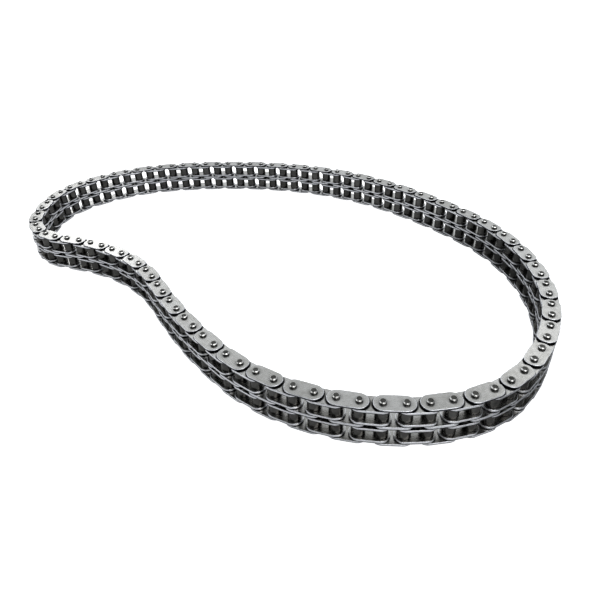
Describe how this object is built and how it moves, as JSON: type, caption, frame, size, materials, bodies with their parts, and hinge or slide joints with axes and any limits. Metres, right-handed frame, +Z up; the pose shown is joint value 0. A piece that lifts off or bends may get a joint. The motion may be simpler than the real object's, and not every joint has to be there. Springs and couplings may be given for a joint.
{
  "type": "duplex roller chain",
  "caption": "Endless two-strand roller chain with riveted pins and straight oblong plates, lying on its side in a kidney-shaped loop.",
  "frame": {"origin": "centre of the loop's bounding box, on the ground under the lower pin ends", "axes": "+Z up along the pins, +X along the loop's longest side, +Y away from the front run"},
  "size_m": [0.326, 0.2938, 0.0234],
  "materials": {
    "plate_steel": "satin",
    "pin_steel": "polished bevel",
    "roller_steel": "dark oiled",
    "bush_steel": "satin"
  },
  "bodies": {
    "front_outer_link": {"outer_plate_upper": "plate_steel", "middle_plate": "plate_steel", "outer_plate_lower": "plate_steel", "pin_left": "pin_steel", "pin_right": "pin_steel"},
    "front_inner_link": {"inner_plate_upper_top": "plate_steel", "inner_plate_upper_bottom": "plate_steel", "inner_plate_lower_top": "plate_steel", "inner_plate_lower_bottom": "plate_steel", "bush_upper_left": "bush_steel", "bush_upper_right": "bush_steel", "bush_lower_left": "bush_steel", "bush_lower_right": "bush_steel"},
    "roller_upper_left": {"roller_upper_left": "roller_steel"},
    "roller_upper_right": {"roller_upper_right": "roller_steel"},
    "roller_lower_left": {"roller_lower_left": "roller_steel"},
    "roller_lower_right": {"roller_lower_right": "roller_steel"},
    "links_03_04": {"links_03_04": "plate_steel"},
    "links_05_06": {"links_05_06": "plate_steel"},
    "links_07_08": {"links_07_08": "plate_steel"},
    "links_09_10": {"links_09_10": "plate_steel"},
    "links_11_12": {"links_11_12": "plate_steel"},
    "links_13_14": {"links_13_14": "plate_steel"},
    "links_15_16": {"links_15_16": "plate_steel"},
    "links_17_18": {"links_17_18": "plate_steel"},
    "links_19_20": {"links_19_20": "plate_steel"},
    "links_21_22": {"links_21_22": "plate_steel"},
    "links_23_24": {"links_23_24": "plate_steel"},
    "links_25_26": {"links_25_26": "plate_steel"},
    "links_27_28": {"links_27_28": "plate_steel"},
    "links_29_30": {"links_29_30": "plate_steel"},
    "links_31_32": {"links_31_32": "plate_steel"},
    "links_33_34": {"links_33_34": "plate_steel"},
    "links_35_36": {"links_35_36": "plate_steel"},
    "links_37_38": {"links_37_38": "plate_steel"},
    "links_39_42": {"links_39_42": "plate_steel"},
    "links_43_46": {"links_43_46": "plate_steel"},
    "links_47_50": {"links_47_50": "plate_steel"},
    "links_51_54": {"links_51_54": "plate_steel"},
    "links_55_58": {"links_55_58": "plate_steel"},
    "links_59_60": {"links_59_60": "plate_steel"},
    "links_61_62": {"links_61_62": "plate_steel"},
    "links_63_64": {"links_63_64": "plate_steel"},
    "links_65_66": {"links_65_66": "plate_steel"},
    "links_67_68": {"links_67_68": "plate_steel"},
    "links_69_70": {"links_69_70": "plate_steel"},
    "links_71_72": {"links_71_72": "plate_steel"},
    "links_73_74": {"links_73_74": "plate_steel"},
    "links_75_76": {"links_75_76": "plate_steel"},
    "links_77_78": {"links_77_78": "plate_steel"},
    "links_79_80": {"links_79_80": "plate_steel"},
    "links_81_82": {"links_81_82": "plate_steel"},
    "links_83_84": {"links_83_84": "plate_steel"},
    "links_85_86": {"links_85_86": "plate_steel"},
    "links_87_88": {"links_87_88": "plate_steel"},
    "links_89_90": {"links_89_90": "plate_steel"},
    "links_91_92": {"links_91_92": "plate_steel"},
    "links_93_94": {"links_93_94": "plate_steel"},
    "links_95_96": {"links_95_96": "plate_steel"},
    "links_97_98": {"links_97_98": "plate_steel"}
  },
  "joints": [
    {"name": "pivot_02", "type": "hinge", "parent": "front_outer_link", "child": "front_inner_link", "pos_m": [0.06741, -0.14239, 0.01169], "axis": [0, 0, 1], "range_deg": [-0.56, 0.56]},
    {"name": "pivot_03", "type": "hinge", "parent": "front_inner_link", "child": "links_03_04", "pos_m": [0.07694, -0.14238, 0.01169], "axis": [0, 0, 1], "range_deg": [-0.491, 0.491]},
    {"name": "pivot_05", "type": "hinge", "parent": "links_03_04", "child": "links_05_06", "pos_m": [0.09574, -0.13947, 0.01169], "axis": [0, 0, 1], "range_deg": [-0.65, 0.65]},
    {"name": "pivot_07", "type": "hinge", "parent": "links_05_06", "child": "links_07_08", "pos_m": [0.1131, -0.13174, 0.01169], "axis": [0, 0, 1], "range_deg": [-0.84, 0.84]},
    {"name": "pivot_09", "type": "hinge", "parent": "links_07_08", "child": "links_09_10", "pos_m": [0.12757, -0.11942, 0.01169], "axis": [0, 0, 1], "range_deg": [-4.5, 4.5]},
    {"name": "pivot_11", "type": "hinge", "parent": "links_09_10", "child": "links_11_12", "pos_m": [0.13937, -0.10449, 0.01169], "axis": [0, 0, 1], "range_deg": [-6.95, 6.95]},
    {"name": "pivot_13", "type": "hinge", "parent": "links_11_12", "child": "links_13_14", "pos_m": [0.14851, -0.08779, 0.01169], "axis": [0, 0, 1], "range_deg": [-3.41, 3.41]},
    {"name": "pivot_15", "type": "hinge", "parent": "links_13_14", "child": "links_15_16", "pos_m": [0.15473, -0.06981, 0.01169], "axis": [0, 0, 1], "range_deg": [-2.11, 2.11]},
    {"name": "pivot_17", "type": "hinge", "parent": "links_15_16", "child": "links_17_18", "pos_m": [0.15797, -0.05105, 0.01169], "axis": [0, 0, 1], "range_deg": [-2.91, 2.91]},
    {"name": "pivot_19", "type": "hinge", "parent": "links_17_18", "child": "links_19_20", "pos_m": [0.15841, -0.03201, 0.01169], "axis": [0, 0, 1], "range_deg": [-1.65, 1.65]},
    {"name": "pivot_21", "type": "hinge", "parent": "links_19_20", "child": "links_21_22", "pos_m": [0.15604, -0.01312, 0.01169], "axis": [0, 0, 1], "range_deg": [-3.41, 3.41]},
    {"name": "pivot_23", "type": "hinge", "parent": "links_21_22", "child": "links_23_24", "pos_m": [0.15092, 0.00521, 0.01169], "axis": [0, 0, 1], "range_deg": [-4.81, 4.81]},
    {"name": "pivot_25", "type": "hinge", "parent": "links_23_24", "child": "links_25_26", "pos_m": [0.14316, 0.02259, 0.01169], "axis": [0, 0, 1], "range_deg": [-0.66, 0.66]},
    {"name": "pivot_27", "type": "hinge", "parent": "links_25_26", "child": "links_27_28", "pos_m": [0.13325, 0.03886, 0.01169], "axis": [0, 0, 1], "range_deg": [-4.45, 4.45]},
    {"name": "pivot_29", "type": "hinge", "parent": "links_27_28", "child": "links_29_30", "pos_m": [0.12228, 0.05443, 0.01169], "axis": [0, 0, 1], "range_deg": [-2.61, 2.61]},
    {"name": "pivot_31", "type": "hinge", "parent": "links_29_30", "child": "links_31_32", "pos_m": [0.1103, 0.06924, 0.01169], "axis": [0, 0, 1], "range_deg": [-7.07, 7.07]},
    {"name": "pivot_33", "type": "hinge", "parent": "links_31_32", "child": "links_33_34", "pos_m": [0.09737, 0.08323, 0.01169], "axis": [0, 0, 1], "range_deg": [-7.18, 7.18]},
    {"name": "pivot_35", "type": "hinge", "parent": "links_33_34", "child": "links_35_36", "pos_m": [0.08342, 0.09619, 0.01169], "axis": [0, 0, 1], "range_deg": [-4.76, 4.76]},
    {"name": "pivot_37", "type": "hinge", "parent": "links_35_36", "child": "links_37_38", "pos_m": [0.06819, 0.10762, 0.01169], "axis": [0, 0, 1], "range_deg": [-4.6, 4.6]},
    {"name": "pivot_39", "type": "hinge", "parent": "links_37_38", "child": "links_39_42", "pos_m": [0.05184, 0.1174, 0.01169], "axis": [0, 0, 1], "range_deg": [-0.9, 0.9]},
    {"name": "pivot_43", "type": "hinge", "parent": "links_39_42", "child": "links_43_46", "pos_m": [0.01659, 0.1317, 0.01169], "axis": [0, 0, 1], "range_deg": [-0.66, 0.66]},
    {"name": "pivot_47", "type": "hinge", "parent": "links_43_46", "child": "links_47_50", "pos_m": [-0.02056, 0.13998, 0.01169], "axis": [0, 0, 1], "range_deg": [-0.82, 0.82]},
    {"name": "pivot_01", "type": "hinge", "parent": "front_outer_link", "child": "links_97_98", "pos_m": [0.05794, -0.14145, 0.01169], "axis": [0, 0, 1], "range_deg": [-0.414, 0.414]},
    {"name": "pivot_97", "type": "hinge", "parent": "links_97_98", "child": "links_95_96", "pos_m": [0.03938, -0.13721, 0.01169], "axis": [0, 0, 1], "range_deg": [-0.422, 0.422]},
    {"name": "pivot_95", "type": "hinge", "parent": "links_95_96", "child": "links_93_94", "pos_m": [0.02178, -0.12995, 0.01169], "axis": [0, 0, 1], "range_deg": [-0.56, 0.56]},
    {"name": "pivot_93", "type": "hinge", "parent": "links_93_94", "child": "links_91_92", "pos_m": [0.00564, -0.11988, 0.01169], "axis": [0, 0, 1], "range_deg": [-0.63, 0.63]},
    {"name": "pivot_91", "type": "hinge", "parent": "links_91_92", "child": "links_89_90", "pos_m": [-0.00861, -0.10726, 0.01169], "axis": [0, 0, 1], "range_deg": [-3.9, 3.9]},
    {"name": "pivot_89", "type": "hinge", "parent": "links_89_90", "child": "links_87_88", "pos_m": [-0.02096, -0.09276, 0.01169], "axis": [0, 0, 1], "range_deg": [-6.76, 6.76]},
    {"name": "pivot_87", "type": "hinge", "parent": "links_87_88", "child": "links_85_86", "pos_m": [-0.03238, -0.07751, 0.01169], "axis": [0, 0, 1], "range_deg": [-1.77, 1.77]},
    {"name": "pivot_85", "type": "hinge", "parent": "links_85_86", "child": "links_83_84", "pos_m": [-0.04281, -0.06158, 0.01169], "axis": [0, 0, 1], "range_deg": [-0.83, 0.83]},
    {"name": "pivot_83", "type": "hinge", "parent": "links_83_84", "child": "links_81_82", "pos_m": [-0.05253, -0.04519, 0.01169], "axis": [0, 0, 1], "range_deg": [-3.31, 3.31]},
    {"name": "pivot_81", "type": "hinge", "parent": "links_81_82", "child": "links_79_80", "pos_m": [-0.06243, -0.02893, 0.01169], "axis": [0, 0, 1], "range_deg": [-0.91, 0.91]},
    {"name": "pivot_79", "type": "hinge", "parent": "links_79_80", "child": "links_77_78", "pos_m": [-0.07479, -0.01446, 0.01169], "axis": [0, 0, 1], "range_deg": [-2.88, 2.88]},
    {"name": "pivot_77", "type": "hinge", "parent": "links_77_78", "child": "links_75_76", "pos_m": [-0.08931, -0.00215, 0.01169], "axis": [0, 0, 1], "range_deg": [-1.45, 1.45]},
    {"name": "pivot_75", "type": "hinge", "parent": "links_75_76", "child": "links_73_74", "pos_m": [-0.10562, 0.00767, 0.01169], "axis": [0, 0, 1], "range_deg": [-3.77, 3.77]},
    {"name": "pivot_73", "type": "hinge", "parent": "links_73_74", "child": "links_71_72", "pos_m": [-0.12314, 0.01514, 0.01169], "axis": [0, 0, 1], "range_deg": [-8, 8]},
    {"name": "pivot_71", "type": "hinge", "parent": "links_71_72", "child": "links_69_70", "pos_m": [-0.1402, 0.02338, 0.01169], "axis": [0, 0, 1], "range_deg": [-0.495, 0.495]},
    {"name": "pivot_69", "type": "hinge", "parent": "links_69_70", "child": "links_67_68", "pos_m": [-0.15243, 0.03785, 0.01169], "axis": [0, 0, 1], "range_deg": [-1.93, 1.93]},
    {"name": "pivot_67", "type": "hinge", "parent": "links_67_68", "child": "links_65_66", "pos_m": [-0.15772, 0.05604, 0.01169], "axis": [0, 0, 1], "range_deg": [-0.487, 0.487]},
    {"name": "pivot_65", "type": "hinge", "parent": "links_65_66", "child": "links_63_64", "pos_m": [-0.15848, 0.07505, 0.01169], "axis": [0, 0, 1], "range_deg": [-0.84, 0.84]},
    {"name": "pivot_63", "type": "hinge", "parent": "links_63_64", "child": "links_61_62", "pos_m": [-0.15493, 0.09369, 0.01169], "axis": [0, 0, 1], "range_deg": [-0.64, 0.64]},
    {"name": "pivot_61", "type": "hinge", "parent": "links_61_62", "child": "links_59_60", "pos_m": [-0.1451, 0.10993, 0.01169], "axis": [0, 0, 1], "range_deg": [-6.45, 6.45]},
    {"name": "pivot_59", "type": "hinge", "parent": "links_59_60", "child": "links_55_58", "pos_m": [-0.13071, 0.12238, 0.01169], "axis": [0, 0, 1], "range_deg": [-8, 8]},
    {"name": "pivot_55", "type": "hinge", "parent": "links_55_58", "child": "links_51_54", "pos_m": [-0.09636, 0.13837, 0.01169], "axis": [0, 0, 1], "range_deg": [-4.04, 4.04]},
    {"name": "roller_upper_left_spin", "type": "hinge", "parent": "front_inner_link", "child": "roller_upper_left", "pos_m": [0.06741, -0.14239, 0.01681], "axis": [0, 0, 1], "continuous": true},
    {"name": "roller_upper_right_spin", "type": "hinge", "parent": "front_inner_link", "child": "roller_upper_right", "pos_m": [0.07694, -0.14238, 0.01681], "axis": [0, 0, 1], "continuous": true},
    {"name": "roller_lower_left_spin", "type": "hinge", "parent": "front_inner_link", "child": "roller_lower_left", "pos_m": [0.06741, -0.14239, 0.00657], "axis": [0, 0, 1], "continuous": true},
    {"name": "roller_lower_right_spin", "type": "hinge", "parent": "front_inner_link", "child": "roller_lower_right", "pos_m": [0.07694, -0.14238, 0.00657], "axis": [0, 0, 1], "continuous": true}
  ],
  "couplings": [
    {"joint": "pivot_02", "follows": "pivot_59", "ratio": -0.070213},
    {"joint": "pivot_03", "follows": "pivot_73", "ratio": 0.061305},
    {"joint": "pivot_05", "follows": "pivot_59", "ratio": -0.081553},
    {"joint": "pivot_07", "follows": "pivot_73", "ratio": 0.10481},
    {"joint": "pivot_09", "follows": "pivot_59", "ratio": -0.56284},
    {"joint": "pivot_11", "follows": "pivot_73", "ratio": 0.86914},
    {"joint": "pivot_13", "follows": "pivot_59", "ratio": -0.4258},
    {"joint": "pivot_15", "follows": "pivot_73", "ratio": 0.26367},
    {"joint": "pivot_17", "follows": "pivot_59", "ratio": -0.36343},
    {"joint": "pivot_19", "follows": "pivot_73", "ratio": 0.20645},
    {"joint": "pivot_21", "follows": "pivot_59", "ratio": -0.42656},
    {"joint": "pivot_23", "follows": "pivot_73", "ratio": 0.60071},
    {"joint": "pivot_25", "follows": "pivot_59", "ratio": 0.082297},
    {"joint": "pivot_27", "follows": "pivot_73", "ratio": -0.55613},
    {"joint": "pivot_29", "follows": "pivot_59", "ratio": 0.32648},
    {"joint": "pivot_31", "follows": "pivot_73", "ratio": -0.88377},
    {"joint": "pivot_33", "follows": "pivot_59", "ratio": 0.89802},
    {"joint": "pivot_35", "follows": "pivot_73", "ratio": -0.59531},
    {"joint": "pivot_37", "follows": "pivot_59", "ratio": 0.57475},
    {"joint": "pivot_39", "follows": "pivot_73", "ratio": -0.11178},
    {"joint": "pivot_43", "follows": "pivot_59", "ratio": 0.081962},
    {"joint": "pivot_47", "follows": "pivot_73", "ratio": -0.10247},
    {"joint": "pivot_01", "follows": "pivot_73", "ratio": -0.051689},
    {"joint": "pivot_97", "follows": "pivot_73", "ratio": -0.052698},
    {"joint": "pivot_95", "follows": "pivot_59", "ratio": 0.069989},
    {"joint": "pivot_93", "follows": "pivot_73", "ratio": -0.078797},
    {"joint": "pivot_91", "follows": "pivot_59", "ratio": -0.48731},
    {"joint": "pivot_89", "follows": "pivot_73", "ratio": 0.84524},
    {"joint": "pivot_87", "follows": "pivot_59", "ratio": -0.22167},
    {"joint": "pivot_85", "follows": "pivot_73", "ratio": 0.10376},
    {"joint": "pivot_83", "follows": "pivot_59", "ratio": -0.41308},
    {"joint": "pivot_81", "follows": "pivot_73", "ratio": 0.11404},
    {"joint": "pivot_79", "follows": "pivot_59", "ratio": -0.36062},
    {"joint": "pivot_77", "follows": "pivot_73", "ratio": 0.1812},
    {"joint": "pivot_75", "follows": "pivot_59", "ratio": -0.47176},
    {"joint": "pivot_71", "follows": "pivot_59", "ratio": 0.061761},
    {"joint": "pivot_69", "follows": "pivot_73", "ratio": -0.24145},
    {"joint": "pivot_67", "follows": "pivot_59", "ratio": 0.060824},
    {"joint": "pivot_65", "follows": "pivot_73", "ratio": -0.10451},
    {"joint": "pivot_63", "follows": "pivot_59", "ratio": 0.080328},
    {"joint": "pivot_61", "follows": "pivot_73", "ratio": -0.8061},
    {"joint": "pivot_55", "follows": "pivot_73", "ratio": -0.50516}
  ]
}
